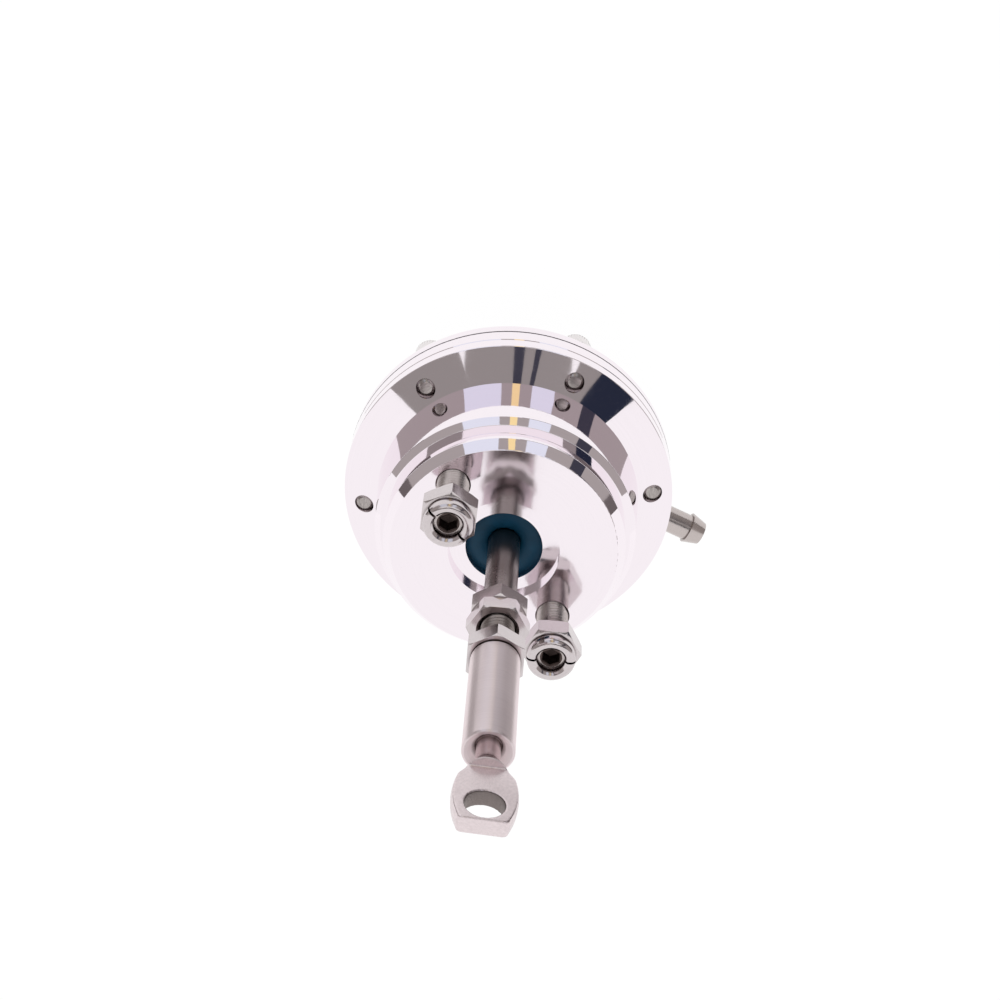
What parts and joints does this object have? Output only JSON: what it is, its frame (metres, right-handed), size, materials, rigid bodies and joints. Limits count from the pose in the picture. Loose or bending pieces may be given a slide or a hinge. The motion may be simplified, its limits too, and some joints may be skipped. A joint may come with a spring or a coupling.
{
  "type": "turbocharger wastegate actuator",
  "caption": "Round polished diaphragm actuator for a turbocharger wastegate, with a sprung push rod, adjustable eye end, mounting studs and a side hose barb.",
  "frame": {"origin": "centre of the flat rear face of the cap", "axes": "+Z along the rod from the cap to the eye; +X through one flange screw, with the hose barb 30 degrees from it towards -Y"},
  "size_m": [0.096, 0.086, 0.1754],
  "materials": {
    "polished_aluminium": "mirror polished",
    "cast_aluminium": "turned",
    "stainless_screws": "turned",
    "plated_steel": "zinc plated",
    "spring_steel": "oiled",
    "bronze": "reamed",
    "blue_silicone": "satin",
    "diaphragm_rubber": "fabric reinforced",
    "ground_stainless": "ground",
    "stainless_nuts": "bright",
    "turned_stainless": "fine turned",
    "satin_stainless": "satin",
    "machined_stainless": "bright turned",
    "copper": "annealed"
  },
  "bodies": {
    "housing": {"lower_housing": "polished_aluminium", "upper_housing": "polished_aluminium", "flange_screws": "stainless_screws", "diaphragm": "diaphragm_rubber", "outer_spring": "spring_steel", "inner_spring": "spring_steel", "spring_seat": "plated_steel", "guide_bush": "bronze", "rod_seal": "blue_silicone", "mounting_studs": "ground_stainless", "stud_lock_nuts": "stainless_nuts", "hose_barb": "machined_stainless", "barb_washer": "copper"},
    "rod": {"actuator_rod": "ground_stainless", "piston": "cast_aluminium", "retainer_plate": "plated_steel", "piston_washer": "plated_steel", "piston_nut": "plated_steel", "rod_hold_nut": "stainless_nuts", "rod_jam_nut": "stainless_nuts"},
    "lock_nut": {"sleeve_lock_nut": "stainless_nuts"},
    "adjuster": {"adjuster_sleeve": "turned_stainless", "rod_end_eye": "satin_stainless"}
  },
  "joints": [
    {"name": "rod_slide", "type": "slide", "parent": "housing", "child": "rod", "axis": [0, 0, 1], "range_m": [0, 0.012], "stiffness_N_per_m": 12000, "springref_m": -0.0125, "deforming": ["diaphragm", "outer_spring", "inner_spring"]},
    {"name": "adjuster_travel", "type": "slide", "parent": "rod", "child": "lock_nut", "axis": [0, 0, 1], "range_m": [-0.005, 0.005]},
    {"name": "adjuster_turn", "type": "hinge", "parent": "lock_nut", "child": "adjuster", "pos_m": [0, 0, 0.15], "axis": [0, 0, 1], "range_deg": [-1440.1, 1440.1]}
  ],
  "couplings": [
    {"joint": "adjuster_turn", "follows": "adjuster_travel", "rad_per_m": 5026.5}
  ]
}
